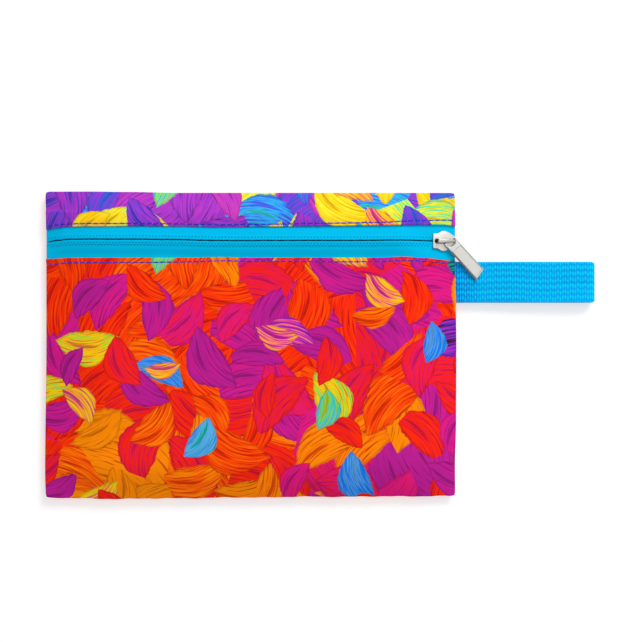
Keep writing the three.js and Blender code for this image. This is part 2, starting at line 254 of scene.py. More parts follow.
def brush_layer(tree, cloth, wobble, under, layer, palette):
    """Scattered leaf-shaped strokes of one layer, streaked lengthwise, over the colours under them."""
    # Each cell of a scatter holds one stroke, with a turn, a tint and a growth of its own
    laid = node(tree, "Mapping", {
        "Vector": cloth,
        "Location": (layer["shift"], layer["shift"] / 3, 0),
        "Rotation": (0, 0, layer["turn"]),
    })[0]
    cells = node(tree, "TexVoronoi", {
        "Vector": laid, "Scale": 1 / layer["cell"], "Randomness": 0.85,
    }, voronoi_dimensions="2D")
    turn, tint, growth = node(tree, "SeparateColor", {"Color": cells["Color"]})
    angle = node(tree, "Math", {0: turn, 1: 2 * math.pi}, operation="MULTIPLY")[0]
    off_middle = node(tree, "VectorMath", {0: laid, 1: cells["Position"]}, operation="SUBTRACT")[0]
    stroke = node(tree, "VectorRotate", {"Vector": off_middle, "Angle": angle}, rotation_type="Z_AXIS")[0]
    lengthwise, crosswise, _ = node(tree, "SeparateXYZ", {"Vector": stroke})

    # The stroke's outline is a leaf about a bent middle line, with a slightly ragged edge
    squared = node(tree, "Math", {0: lengthwise, 1: lengthwise}, operation="MULTIPLY")[0]
    bent = node(tree, "Math", {0: squared, 1: layer["bend"], 2: crosswise}, operation="MULTIPLY_ADD")[0]
    off_line = node(tree, "Math", {0: bent}, operation="ABSOLUTE")[0]
    wide = node(tree, "Math", {0: off_line, 1: 1 / layer["width"]}, operation="MULTIPLY")[0]
    leaf = node(tree, "Math", {0: squared, 1: layer["length"] ** -2, 2: wide}, operation="MULTIPLY_ADD")[0]
    ragged = node(tree, "Math", {0: wobble, 1: 0.18, 2: leaf}, operation="MULTIPLY_ADD")[0]
    size = node(tree, "Math", {0: growth, 1: 0.45, 2: 0.6}, operation="MULTIPLY_ADD")[0]
    inside = node(tree, "Math", {0: size, 1: ragged}, operation="SUBTRACT")[0]
    cover = node(tree, "MapRange", {"Value": inside, "From Min": -0.02, "From Max": 0.03})[0]

    # Hairs of the brush leave streaks of other tints along it, about 22 mm long and 1.1 mm apart, and
    # dark grooves between them
    along = node(tree, "CombineXYZ", {"X": lengthwise, "Y": bent})[0]
    hairs = node(tree, "VectorMath", {
        0: along, 1: (0.045, 0.9, 0), 2: cells["Color"],
    }, operation="MULTIPLY_ADD")[0]
    streak = node(tree, "TexNoise", {
        "Vector": hairs, "Scale": 1, "Detail": 2, "Roughness": 0.6,
    }, noise_dimensions="2D")[0]
    if layer["accent"]:
        tone = tint
    else:
        zone = node(tree, "TexNoise", {
            "Vector": cells["Position"], "Scale": 1 / COLOUR_ZONE, "Detail": 0,
        }, noise_dimensions="2D")[0]
        spread = node(tree, "MapRange", {"Value": zone, "From Min": 0.27, "From Max": 0.73})[0]
        odd = node(tree, "Math", {0: tint, 1: 0.5}, operation="SUBTRACT")[0]
        tone = node(tree, "Math", {0: odd, 1: 0.3, 2: spread}, operation="MULTIPLY_ADD")[0]
    blended = node(tree, "MapRange", {
        "Value": streak, "From Min": 0.36, "From Max": 0.64, "To Min": 0.11, "To Max": -0.11,
    })[0]
    streaked = node(tree, "Math", {0: tone, 1: blended}, operation="ADD")[0]
    paint = node(tree, "ValToRGB", {"Fac": streaked}, stops=palette)[0]
    groove = node(tree, "MapRange", {
        "Value": streak, "From Min": 0.33, "From Max": 0.43, "To Min": 0.58, "To Max": 1,
    })[0]
    rim = node(tree, "MapRange", {
        "Value": inside, "From Min": 0, "From Max": 0.14, "To Min": 0.62, "To Max": 1,
    })[0]
    shade = node(tree, "Math", {0: groove, 1: rim}, operation="MULTIPLY")[0]
    shaded = node(tree, "VectorMath", {0: paint, "Scale": shade}, operation="SCALE")[0]
    return node(tree, "Mix", {0: cover, 6: under, 7: shaded}, data_type="RGBA")[2]


def printed_polyester(name, ground, accents):
    """Plain-weave polyester with a heat-pressed print: matt, strong colours and a faint grain of threads."""
    material, tree, shader = new_material(name)
    cloth = cloth_in_mm(tree)
    ragged = node(tree, "TexNoise", {
        "Vector": cloth, "Scale": 1 / RAGGED_EDGE, "Detail": 2,
    }, noise_dimensions="2D")[0]
    wobble = node(tree, "Math", {0: ragged, 1: 0.5}, operation="SUBTRACT")[0]
    colour = linear(ground[0][1])
    for layer in BRUSH_LAYERS:
        colour = brush_layer(tree, cloth, wobble, colour, layer, accents if layer["accent"] else ground)
    # Threads are about 0.3 mm apart; they are drawn 1 mm apart so that the weave shows
    thread = 1.0
    warp, weft = (
        node(tree, "TexWave", {
            "Vector": cloth, "Scale": BANDS / thread, "Distortion": 0.4, "Detail": 1,
        }, bands_direction=direction)["Fac"]
        for direction in "XY"
    )
    weave = node(tree, "Math", {0: warp, 1: weft}, operation="MULTIPLY")[0]
    bump = node(tree, "Bump", {"Height": weave, "Strength": 0.35, "Distance": 0.08 * MM})[0]
    set_inputs(tree, shader, {
        "Base Color": colour, "Normal": bump, "Roughness": 0.7, "Specular IOR Level": 0.06,
    })
    return material


WARM_GROUND = [
    (0.0, "#ff8a00"), (0.06, "#ff6e00"), (0.16, "#ff4e00"), (0.3, "#fd2e00"), (0.46, "#f21c12"),
    (0.58, "#ee184c"), (0.7, "#e4187c"), (0.86, "#d81888"), (1.0, "#b81c90"),
]
ACCENTS = [
    (0.0, "#1478e6"), (0.14, "#64aef4"), (0.26, "#12c4b4"), (0.36, "#8adc3a"), (0.46, "#ffd000"),
    (0.58, "#ff9a1e"), (0.68, "#ec2e9a"), (0.78, "#b428c0"), (0.9, "#5a2ab8"), (1.0, "#5c1a1c"),
]
warm_print = printed_polyester("printed polyester, warm", WARM_GROUND, ACCENTS)


def back_shape(across, down):
    place_across, side_rise = between_edges(across, POUCH_WIDTH, 0, POUCH_WIDTH, LIP, LIP)
    place_down, end_rise = between_edges(down, POUCH_HEIGHT, 0, POUCH_HEIGHT, LIP, LIP)
    height = back_height(place_across, place_down) + CLOTH / 2 + np.maximum(side_rise, end_rise)
    return on_pouch(place_across, place_down, height)


back = new_piece("back_cloth", cloth_grid(
    cloth_marks(POUCH_WIDTH, LIP_TURN, LIP_TURN, BACK_STEP),
    cloth_marks(POUCH_HEIGHT, LIP_TURN, LIP_TURN, BACK_STEP),
    back_shape,
), [warm_print])
thicken(back, CLOTH)
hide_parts("back_panel")

# Front panels
# Two pieces of the same printed cloth, a narrow strip above the zip and the main panel below it. Their
# zip edges are folded under and topstitched, and their borders turn into the seam with the back.
WALL = 1.2  # space that a folded edge of cloth takes up
SEAM_GAP = 0.3
CROWN = 14.0  # top of the filled-out front above the table
FRONT_REACH = {"side": 45, "top": 20, "foot": 24}
HEM = (WALL - CLOTH) / 2  # radius of the folded zip edges
HEM_RETURN = 6.5  # cloth folded under at the zip edges
HEM_UNDER = HEM * (math.pi - 1) + HEM_RETURN
FRONT_STEP = 1.1  # mesh spacing over the front
UPPER_DEEP = 21.0
LOWER_DEEP = POUCH_HEIGHT - 39.9

# How far the zip tapes and the strap in the side seams raise the front, at mm below the top border
LEFT_RAISE = [(10.8, 0), (13.2, 1.3), (42, 1.3), (44.4, 0)]
RIGHT_RAISE = [(10.8, 0), (13.2, 1.3), (34, 1.3), (39.5, 1.5), (67.4, 1.5), (70.4, 0)]
# Folded zip edges below the top border, at mm across
UPPER_EDGE = [
    (0, 23.3), (6, 22.2), (14, 21.6), (30, 21.5), (50, 21.25), (82, 20.9), (106, 21.35), (130, 21.1),
    (180, 20.7), (204, 20.4), (232, 20.0), (244, 20.0), (250, 20.5),
]
LOWER_EDGE = [
    (0, 40.95), (14, 40.35), (50, 40.05), (82, 39.7), (106, 39.55), (130, 39.75), (204, 39.9), (222, 39.3),
    (233, 39.95), (250, 41.5),
]
# Stitch lines from their folded edges, at mm across
UPPER_STITCH = [(0, 1.8), (20, 1.7), (125, 1.4), (200, 1.8), (228, 2.7), (250, 3.2)]
LOWER_STITCH = [(0, 3.6), (15, 2.9), (60, 2.8), (125, 2.1), (185, 2.5), (215, 2.1), (250, 2.1)]
# Right edge of the main panel, drawn in where the strap is sewn under it, at mm below the top border
STRAP_TUCK = [(40, 2.4), (41.3, 3.0), (43.4, 5.4), (47, 3.2), (52, 0)]
DENTS = {"soft": 0.42, "fine": 0.12, "from_zip": 12}  # their heights, and where they set in
PUCKER = 0.2  # height of the puckers at the seams and at the stitch lines
GATHER_LIFT = 0.3  # added to the waves at the stitch lines, of which only the rise is left
PUCKER_REACH = {"side": 7, "end": 6, "stitch": 2.4, "border": 0.8}
STITCH_SUNK = {"deep": 0.12, "half": 0.6}
# Fold that lies along the foot near its left corner, and how much of it there is at mm across
FOOT_FOLD = {"up": 3.4, "half": 0.5, "deep": 0.3}
FOOT_FOLD_ALONG = [(3, 0), (8, 1), (30, 1), (44, 0)]


def front_height(across, down):
    share = towards_right(across)
    raised = eased(LEFT_RAISE, down) * (1 - share) + eased(RIGHT_RAISE, down) * share
    border = BORDER_LIFT + 2 * WALL + SEAM_GAP + raised
    return border + (CROWN - border) * filling(across, down, FRONT_REACH)


def ripples(seed, shortest, longest, waves=16):
    """Seeded waves about 1 high, of mixed lengths in mm and directions, for places across and down."""
    chance = np.random.default_rng(seed)
    turns = 2 * np.pi / np.exp(chance.uniform(math.log(shortest), math.log(longest), waves))
    angles = chance.uniform(0, 2 * np.pi, waves)
    phases = chance.uniform(0, 2 * np.pi, waves)

    def height(across, down):
        waves_there = [
            np.sin(turn * (across * math.cos(angle) + down * math.sin(angle)) + phase)
            for turn, angle, phase in zip(turns, angles, phases)
        ]
        return sum(waves_there) / math.sqrt(waves)

    return height


soft_dents = ripples(seed=3, shortest=38, longest=110)
fine_dents = ripples(seed=5, shortest=11, longest=30)
seam_puckers = ripples(seed=7, shortest=4, longest=13)
stitch_puckers = ripples(seed=11, shortest=2.2, longest=6)


def creases(across, down, from_stitch):
    """Rise and fall of sewn, filled cloth: broad dents, and puckers at the seams and at the stitch line."""
    def by_seam(distance, reach):
        return np.exp(-distance / reach) * (1 - np.exp(-distance / PUCKER_REACH["border"]))

    by_zip = np.clip(np.abs(from_stitch) / DENTS["from_zip"], 0, 1)
    dents = DENTS["soft"] * soft_dents(across, down) + DENTS["fine"] * fine_dents(across, down)
    dents = filling(across, down, FRONT_REACH) * by_zip * dents
    from_side = np.minimum(across, POUCH_WIDTH - across)
    from_end = np.minimum(down, POUCH_HEIGHT - down)
    side_puckers = by_seam(from_side, PUCKER_REACH["side"]) * seam_puckers(0 * down, down)
    end_puckers = by_seam(from_end, PUCKER_REACH["end"]) * seam_puckers(across, 0 * across)
    gathers = np.maximum(stitch_puckers(across, 0 * across) + GATHER_LIFT, 0)
    gathers = np.exp(-np.abs(from_stitch) / PUCKER_REACH["stitch"]) * gathers
    sunk = np.exp(-((from_stitch / STITCH_SUNK["half"]) ** 2))
    fold = np.exp(-(((POUCH_HEIGHT - down - FOOT_FOLD["up"]) / FOOT_FOLD["half"]) ** 2))
    fold = fold * eased(FOOT_FOLD_ALONG, across)
    rise = dents + PUCKER * side_puckers + PUCKER * end_puckers + PUCKER * gathers * (1 - sunk)
    return rise - STITCH_SUNK["deep"] * sunk - FOOT_FOLD["deep"] * fold


def upper_shape(across, down):
    edge = eased(UPPER_EDGE, across)
    place_down, end_drop = between_edges(down, UPPER_DEEP, 0, edge, LIP, HEM)
    place_across, side_drop = between_edges(across, POUCH_WIDTH, 0, POUCH_WIDTH, LIP, LIP)
    folds = creases(place_across, place_down, place_down - edge + eased(UPPER_STITCH, across))
    height = front_height(place_across, place_down) + folds - CLOTH / 2 - np.maximum(side_drop, end_drop)
    return on_pouch(place_across, place_down, height)


def lower_shape(across, down):
    edge = eased(LOWER_EDGE, across)
    place_down, end_drop = between_edges(down, LOWER_DEEP, edge, POUCH_HEIGHT, HEM, LIP)
    right = POUCH_WIDTH - eased(STRAP_TUCK, place_down)
    place_across, side_drop = between_edges(across, POUCH_WIDTH, 0, right, LIP, LIP)
    folds = creases(place_across, place_down, place_down - edge - eased(LOWER_STITCH, across))
    height = front_height(place_across, place_down) + folds - CLOTH / 2 - np.maximum(side_drop, end_drop)
    return on_pouch(place_across, place_down, height)


COOL_GROUND = [
    (0.0, "#c43cb4"), (0.16, "#b034c0"), (0.3, "#8a38c8"), (0.4, "#5440d0"), (0.48, "#2a6cea"),
    (0.57, "#34b0f0"), (0.66, "#34d0b8"), (0.75, "#8ee058"), (0.84, "#f4e634"), (1.0, "#ffcc10"),
]
cool_print = printed_polyester("printed polyester, cool", COOL_GROUND, ACCENTS)

across_marks = cloth_marks(POUCH_WIDTH, LIP_TURN, LIP_TURN, FRONT_STEP)
upper = new_piece("front_upper_cloth", cloth_grid(
    across_marks, cloth_marks(UPPER_DEEP, LIP_TURN, HEM_UNDER, FRONT_STEP / 2), upper_shape,
), [cool_print])
lower = new_piece("front_lower_cloth", cloth_grid(
    across_marks, cloth_marks(LOWER_DEEP, HEM_UNDER, LIP_TURN, FRONT_STEP), lower_shape,
), [warm_print])
for panel, cad_node, cut in [
    (upper, "front_panel_upper", (0.252, 0.0285)),
    (lower, "front_panel_lower", (0.252, 0.154)),
]:
    thicken(panel, CLOTH)
    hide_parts(cad_node)

# Topstitching
# Blue-violet polyester thread in long lockstitches along both folded zip edges. Between two stitches
# the paler thread from below shows as a small knot in the needle's hole.
STITCH_PITCH = 4.07
STITCH_START = 0.7  # first needle hole from the left border
LOWER_STITCH_END = POUCH_WIDTH - 5  # the lower row stops short of the notch over the strap
STITCH_SIZE = (4.05, 0.8, 0.55)  # length, width and height of one stitch
KNOT_SIZE = (0.6, 0.55, 0.42)
STITCH_PROUD = 0.02  # middle of the thread above the cloth


def spun_thread(name, colour, roughness):
    """Twisted polyester thread: a dyed filament with a slight gloss, its twist drawn as slanting stripes."""
    material, tree, shader = new_material(name)
    place = node(tree, "TexCoord", {})["Object"]
    # The stripes are about 0.4 mm apart; they are drawn 0.6 mm apart so that they show
    stripe = 0.6 * MM
    twist = node(tree, "TexWave", {
        "Vector": place, "Scale": BANDS / stripe, "Distortion": 0,
    }, bands_direction="DIAGONAL")["Fac"]
    groove = [0.7 * c for c in linear(colour)[:3]] + [1]
    shade = node(tree, "Mix", {0: twist, 6: groove, 7: linear(colour)}, data_type="RGBA")[2]
    set_inputs(tree, shader, {"Base Color": shade, "Roughness": roughness, "Specular IOR Level": 0.1})
    return material


violet_thread = spun_thread("blue-violet polyester thread", "#2e34cc", 0.5)
pale_thread = spun_thread("pale polyester thread", "#9c8cd8", 0.5)


def add_bead(builder, point, direction, size, material):
    """Small rounded grain of thread or plastic in mm, lying along a direction at a point in metres."""
    turn = Vector(direction).to_track_quat("X", "Z").to_matrix().to_4x4()
    scale = Matrix.Diagonal((*(side / 2 * MM for side in size), 1))
    made = bmesh.ops.create_uvsphere(
        builder, u_segments=6, v_segments=6, radius=1,
        matrix=Matrix.Translation(point) @ turn @ scale @ Matrix.Rotation(math.pi / 2, 4, "Y"),
    )
    for face in {face for vertex in made["verts"] for face in vertex.link_faces}:
        face.material_index = material


def stitch_line(name, edge_rows, stitch_rows, side, end):
    """Row of stitches at its distance above or below a folded edge, side -1 or 1, that ends at mm across."""
    builder = bmesh.new()
    starts = np.arange(STITCH_START, end - STITCH_PITCH, STITCH_PITCH)

    def thread_point(across):
        down = eased(edge_rows, across) + side * eased(stitch_rows, across)
        return on_pouch(across, down, front_height(across, down) + STITCH_PROUD)

    first, middle, last = (thread_point(starts + share * STITCH_PITCH) for share in (0, 0.5, 1))
    for begin, centre, finish in zip(first, middle, last):
        along = finish - begin
        add_bead(builder, centre, along, STITCH_SIZE, 0)
        add_bead(builder, finish, along, KNOT_SIZE, 1)
    new_piece(name, builder, [violet_thread, pale_thread])


stitch_line("topstitch_upper", UPPER_EDGE, UPPER_STITCH, -1, POUCH_WIDTH)
stitch_line("topstitch_lower", LOWER_EDGE, LOWER_STITCH, 1, LOWER_STITCH_END)

# Zip tapes
# Two woven cyan polyester tapes, sewn flat under the folded edges. They meet in a narrow dark slit and
# rise gently to it over the coil, which is sewn under them by rows of short stitches.
ZIP_DOWN = 29.3
# Line on which the tapes meet, below the top border at mm across
ZIP_LINE = [
    (0, 30.9), (6.7, 29.85), (14, 29.25), (40, 29.1), (82, 29.0), (106, 29.6), (180, 29.6), (222, 29.35),
    (236, 29.6), (250, 29.65),
]
TAPE = 0.6
TAPE_BELOW = WALL + SEAM_GAP  # outer face of the tapes below the front panels
TAPE_EDGE = {"upper": 13.3, "lower": 41.8}
TAPE_INSET = 0.1  # ends of the tapes inside the side borders
TAPE_STEP = 0.8  # mesh spacing across the tapes
CUT_EDGE = 0.01  # radius of the tapes' hidden edges, which don't turn
SLIT_TURN = 0.3  # radius of the tape edges in the slit
SLIT_UNDER = SLIT_TURN * (2.1 - 1)
SLIT_RAGGED = 0.06
SLIT_WIDTH = [(0, 0.3), (4, 0.72), (236, 0.72), (239.5, 2.2), (246, 2.2), (250, 1)]
# Rise of the tapes towards the slit, at mm from it, and how much of it is left at mm across
TAPE_RISE = [(0, 2.3), (2.4, 1.95), (4, 1.35), (9.8, 0)]
RISE_LEFT = [(0, 0), (14, 0.8), (60, 1), (214, 1), (234, 0), (250, 0)]

slit_waves = ripples(seed=13, shortest=2.5, longest=7)


def tape_height(across, down):
    rise = eased(TAPE_RISE, np.abs(down - eased(ZIP_LINE, across))) * eased(RISE_LEFT, across)
    return front_height(across, down) - TAPE_BELOW + rise


def tape_shape(side, deep):
    is_upper = side == "upper"
    edge = TAPE_EDGE[side]
    waves_at = 9 if is_upper else 0  # so that the two edges of the slit differ

    def shape(across, down):
        right = POUCH_WIDTH - TAPE_INSET
        place_across, side_drop = between_edges(across, POUCH_WIDTH, TAPE_INSET, right, LIP, LIP)
        slit = eased(ZIP_LINE, place_across)
        half = eased(SLIT_WIDTH, place_across) / 2 + SLIT_RAGGED * slit_waves(place_across, waves_at)
        if is_upper:
            place_down, end_drop = between_edges(down, deep, edge, slit - half, CUT_EDGE, SLIT_TURN)
        else:
            place_down, end_drop = between_edges(down, deep, slit + half, edge, SLIT_TURN, CUT_EDGE)
        height = tape_height(place_across, place_down) - TAPE / 2 - np.maximum(side_drop, end_drop)
        return on_pouch(place_across, place_down, height)

    return shape


def woven_tape(name, colour, groove):
    """Fine warp-ribbed polyester tape: clean cyan, a soft sheen, and ribs of thread along its length."""
    material, tree, shader = new_material(name)
    cloth = cloth_in_mm(tree)
    # Threads are about 0.25 mm apart; they are drawn 0.9 mm apart so that the weave shows
    thread = 0.9
    twill = node(tree, "TexWave", {
        "Vector": cloth, "Scale": BANDS / thread, "Distortion": 1.5, "Detail": 2, "Detail Scale": 2,
    }, bands_direction="DIAGONAL")["Fac"]
    cloudy = node(tree, "TexNoise", {"Vector": cloth, "Scale": 1 / 18, "Detail": 3})[0]
    mixed = node(tree, "Math", {0: twill, 1: cloudy}, operation="MULTIPLY")[0]
    shade = node(tree, "Mix", {0: mixed, 6: linear(colour), 7: linear(groove)}, data_type="RGBA")[2]
    bump = node(tree, "Bump", {"Height": twill, "Strength": 0.25, "Distance": 0.06 * MM})[0]
    set_inputs(tree, shader, {
        "Base Color": shade, "Normal": bump, "Roughness": 0.65, "Specular IOR Level": 0.02,
    })
    return material


cyan_tape = woven_tape("woven cyan zip tape", "#00bcea", "#00acdf")

for side, deep, first_under, last_under in [
    ("upper", ZIP_DOWN - TAPE_EDGE["upper"], 0, SLIT_UNDER),
    ("lower", TAPE_EDGE["lower"] - ZIP_DOWN, SLIT_UNDER, 0),
]:
    tape = new_piece(f"tape_{side}", cloth_grid(
        across_marks, cloth_marks(deep, first_under, last_under, TAPE_STEP), tape_shape(side, deep),
    ), [cyan_tape])
    thicken(tape, TAPE)
    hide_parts(f"zip_tape_{side}")

# Zip coil and its stitches
# Two dark nylon coils lie under the tapes with their turns interlocked below the slit. Rows of short
# stitches in darker blue thread hold them to the tapes and dent the tapes' outer face.
COIL_FROM = 1.6
COIL_TO = POUCH_WIDTH - 10.6
COIL_PITCH = 1.3
COIL_TURN = (3.3, 0.85, 1.3)  # length, width and height of one turn
COIL_OFF = 1.1  # middle of each coil from the zip line
COIL_BELOW = 2.0  # middle of the coil below the tapes' outer face
COIL_SLANT = 0.12
STITCH_ROWS = [{"off": -2.1, "from": 2.0}, {"off": 1.9, "from": 2.0}, {"off": 3.1, "from": 3.0}]
COIL_STITCH_TO = POUCH_WIDTH - 15
COIL_STITCH_PITCH = 2.0
COIL_STITCH = (1.1, 0.62, 0.3)
COIL_STITCH_SLANT = 0.25
COIL_STITCH_SUNK = 0.02


def moulded_nylon(name, dark, pale):
    """Moulded nylon: nearly black in the slit, with a slight gloss and a faint cloudiness."""
    material, tree, shader = new_material(name)
    place = node(tree, "TexCoord", {})["Object"]
    cloudy = node(tree, "TexNoise", {"Vector": place, "Scale": 1 / (3 * MM)})[0]
    tone = node(tree, "Mix", {0: cloudy, 6: linear(dark), 7: linear(pale)}, data_type="RGBA")[2]
    set_inputs(tree, shader, {"Base Color": tone, "Roughness": 0.4})
    return material


nylon = moulded_nylon("dark blue moulded nylon", "#01141c", "#04222c")
coil_builder = bmesh.new()
for side in (-1, 1):
    first_turn = COIL_FROM + 0.25 * (side + 1) * COIL_PITCH
    turns = np.arange(first_turn, COIL_TO, COIL_PITCH)
    downs = eased(ZIP_LINE, turns) + side * COIL_OFF
    for point in on_pouch(turns, downs, tape_height(turns, downs) - COIL_BELOW):
        add_bead(coil_builder, point, (COIL_SLANT * side, 1, 0), COIL_TURN, 0)
coil = new_piece("coil", coil_builder, [nylon])
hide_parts("zip_coil")

blue_thread = spun_thread("dark blue polyester thread", "#007cb0", 0.6)
row_builder = bmesh.new()
for row in STITCH_ROWS:
    places = np.arange(row["from"], COIL_STITCH_TO, COIL_STITCH_PITCH)
    downs = eased(ZIP_LINE, places) + row["off"]
    for point in on_pouch(places, downs, tape_height(places, downs) - COIL_STITCH_SUNK):
        add_bead(row_builder, point, (1, COIL_STITCH_SLANT, 0), COIL_STITCH, 0)
new_piece("coil_stitches", row_builder, [blue_thread])

# Slider
# Die-cast zinc slider, plated in satin nickel and tumbled so that its edges are soft: a shield-shaped
# top plate, a post and a lower plate that hold the tapes between them, and a bail on top for the pull.
SLIDER_AT = (74.617, 63.272, 7.616)  # on the zip line, at the outer face of the tapes
SLIDER_TILT = math.radians(12.37)
SLIDER_GAP = 0.3
PLATE = 1.2
SHIELD = {
    "left": -6.6, "neck": -4.8, "middle": -0.2, "right": 7.5,
    "neck_half": 4.5, "widest": 6.2, "nose_half": 2.5, "corner": 0.7,
}
LOWER_PLATE = {"left": -6.2, "right": -0.4, "half": 4.3, "top": -3.0, "thick": 1.0}
POST = {"left": -2.2, "right": -0.6, "half": 0.7, "into_plates": 0.4, "rounding": 0.1}
BAIL = {
    "left": -4.9, "right": 6.7, "window": 0.4, "leg": 0.9, "bar": 1.0,
    "half": 1.55, "end_half": 0.85, "into_plate": 0.4, "corner": 0.7,
}
BAIL_NARROWS = [(-0.5, 1), (3.0, BAIL["end_half"] / BAIL["half"])]  # its width as a share, at mm along it
BAIL_SIDES = {"top": 0.8, "slope": 0.11}  # width at the top as a share, and how it grows for each mm below
# Hollow at the bail's end, which takes up a share of the plate's half width
PIT = {"from": -5.7, "to": -4.7, "share": 0.2, "deep": 0.85, "wall": 0.12}
PULL_CLEAR = 1.1  # from the pull's hinge to the top plate, and to the bail above it
ROUND_EDGE = 0.28
RIM_ANGLE = 0.9  # radians past which an edge is a rim, which tumbling rounds off


def satin_nickel(name, dark, pale):
    """Zinc casting plated in satin nickel: pale warm grey, a soft broad gloss and a fine tumbled grain."""
    material, tree, shader = new_material(name)
    place = node(tree, "TexCoord", {})["Object"]
    # The grain is about 0.1 mm across; it is drawn 0.5 mm across so that it shows
    grit = 0.5 * MM
    grain = node(tree, "TexNoise", {"Vector": place, "Scale": 1 / grit, "Detail": 3})[0]
    cloudy = node(tree, "TexNoise", {"Vector": place, "Scale": 1 / (5 * MM), "Detail": 2})[0]
    tone = node(tree, "Mix", {0: cloudy, 6: linear(dark), 7: linear(pale)}, data_type="RGBA")[2]
    gloss = node(tree, "MapRange", {"Value": grain, "To Min": 0.3, "To Max": 0.46})[0]
    bump = node(tree, "Bump", {"Height": grain, "Strength": 0.12, "Distance": 0.05 * MM})[0]
    set_inputs(tree, shader, {"Base Color": tone, "Roughness": gloss, "Normal": bump, "Metallic": 0.75})
    return material


nickel = satin_nickel("satin nickel plating on zinc", "#b2b0ab", "#bebcb7")
# Painted light: the slider's plate gets a paler copy of the nickel on the bail and the pull, so that it
# looks more brightly lit, also where the bail shades it
nickel_painted_lighter = satin_nickel("satin nickel plating on zinc, painted lighter", "#c6c4bf", "#d2d0cb")
# Tumbling doesn't reach the hollow at the bail's end or the wall over it, so they stay dull; this near-black
# nickel also paints in the shade that falls there
dull_nickel_painted_shade = satin_nickel("dull nickel with painted shade in a hollow of the casting", "#3c362f", "#4a433b")
slider_nickel_lit_and_shaded = [nickel_painted_lighter, dull_nickel_painted_shade, nickel]


def raise_faces(builder, faces, depth):
    """Raises flat faces into a closed slab, and returns its upper points."""
    extruded = bmesh.ops.extrude_face_region(builder, geom=list(faces))["geom"]
    raised = [part for part in extruded if isinstance(part, bmesh.types.BMVert)]
    bmesh.ops.translate(builder, verts=raised, vec=(0, 0, depth))
    return raised


def round_off(builder, edges, radius, segments):
    """Rounds edges off, and returns the points of the roundings."""
    return bmesh.ops.bevel(
        builder, geom=list(edges), offset=radius,
        affect="EDGES", segments=segments, profile=0.5, material=-1,
    )["verts"]


def add_slab(builder, outline, depth, rounding, place):
    """Closed slab of a flat outline in its own XY plane, from 0 up to a depth, with rounded rims."""
    face = builder.faces.new([builder.verts.new((x, y, 0)) for x, y in outline])
    verts = raise_faces(builder, [face], depth) + list(face.verts)
    faces = {near for vertex in verts for near in vertex.link_faces}
    bmesh.ops.recalc_face_normals(builder, faces=list(faces))
    edges = {edge for vertex in verts for edge in vertex.link_edges}
    rims = [edge for edge in edges if edge.calc_face_angle(0) > RIM_ANGLE]
    rounded = round_off(builder, rims, rounding, 3)
    moved = {vertex for vertex in verts if vertex.is_valid} | set(rounded)
    bmesh.ops.transform(builder, matrix=place, verts=list(moved))


def upright_edges(builder, wanted):
    """Upright edges of a plate at the corners for which wanted(x, y) holds."""
    return [
        edge for edge in builder.edges
        if (edge.verts[0].co - edge.verts[1].co).xy.length < 1e-6 and wanted(*edge.verts[0].co.xy)
        and edge.calc_face_angle(0) > 0.5
    ]


def curve_points(*knots, steps=8):
    """Points along a cubic curve through a knot, two handles and a knot, without the last one."""
    flat = [Vector((*knot, 0)) for knot in knots]
    return [point.xy for point in interpolate_bezier(*flat, steps)[:-1]]


neck_curve = curve_points(
    (SHIELD["neck"], SHIELD["neck_half"]), (-2.6, SHIELD["neck_half"]),
    (-2.2, SHIELD["widest"]), (SHIELD["middle"], SHIELD["widest"]),
)
nose_curve = curve_points(
    (SHIELD["middle"], SHIELD["widest"]), (1.6, SHIELD["widest"]),
    (4.4, 4.9), (SHIELD["right"], SHIELD["nose_half"]),
)
half_shield = [Vector((SHIELD["left"], SHIELD["neck_half"]))] + neck_curve + nose_curve
half_shield.append(Vector((SHIELD["right"], SHIELD["nose_half"])))

# The top plate is a grid with a row of faces along its middle, in which the hollow is sunk
slider_builder = bmesh.new()
shield_x, shield_half = zip(*half_shield)
plate_columns = sorted([*shield_x, PIT["from"], PIT["to"]])
plate_halves = np.interp(plate_columns, shield_x, shield_half)
plate_rows = [-1, -PIT["share"], PIT["share"], 1]
bmesh.ops.create_grid(
    slider_builder, x_segments=len(plate_columns) - 1, y_segments=len(plate_rows) - 1, size=1,
)
for index, vertex in enumerate(slider_builder.verts):
    row, column = divmod(index, len(plate_columns))
    vertex.co = (plate_columns[column], plate_rows[row] * plate_halves[column], SLIDER_GAP)
raise_faces(slider_builder, slider_builder.faces, PLATE)
bmesh.ops.recalc_face_normals(slider_builder, faces=list(slider_builder.faces))
plate_corners = upright_edges(slider_builder, lambda x, y: x < SHIELD["left"] + 0.1 and abs(y) > 4)
round_off(slider_builder, plate_corners, SHIELD["corner"], 4)
rims = [edge for edge in slider_builder.edges if edge.calc_face_angle(0) > RIM_ANGLE]
round_off(slider_builder, rims, ROUND_EDGE, 3)
pit_faces = [
    face for face in slider_builder.faces
    if face.normal.z > 0.9 and PIT["from"] < face.calc_center_median().x < PIT["to"]
    and abs(face.calc_center_median().y) < 0.5
]
pit_walls = bmesh.ops.inset_region(
    slider_builder, faces=pit_faces, thickness=PIT["wall"], depth=-PIT["deep"], use_even_offset=True,
)["faces"]
# Painted shade: the hollow's floor and walls get the near-black nickel
for face in pit_faces + pit_walls:
    face.material_index = slider_nickel_lit_and_shaded.index(dull_nickel_painted_shade)

